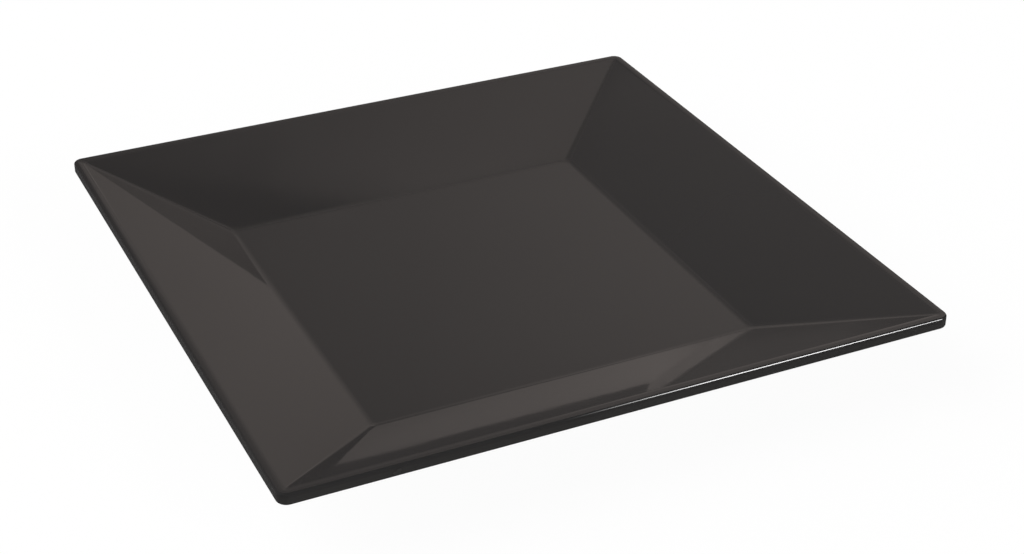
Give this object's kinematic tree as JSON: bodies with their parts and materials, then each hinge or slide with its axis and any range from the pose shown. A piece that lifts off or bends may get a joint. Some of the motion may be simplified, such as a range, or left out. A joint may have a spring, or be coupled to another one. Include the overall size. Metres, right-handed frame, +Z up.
{
  "type": "square dinner plate",
  "caption": "Square dinner plate with a flat square well, four flat sloping rim panels that meet in mitres, an upright lip and a low square foot ring.",
  "frame": {"origin": "middle of the plate at the height of the table, on the plane that the foot ring stands on", "axes": "+Z up, square to the well's floor; X and Y along the plate's straight sides"},
  "size_m": [0.26, 0.26, 0.0265],
  "materials": {
    "melamine": "satin moulded underside and lip",
    "glaze": "high gloss"
  },
  "bodies": {
    "root": {"plate_body": "melamine", "face_glaze": "glaze"}
  },
  "joints": []
}
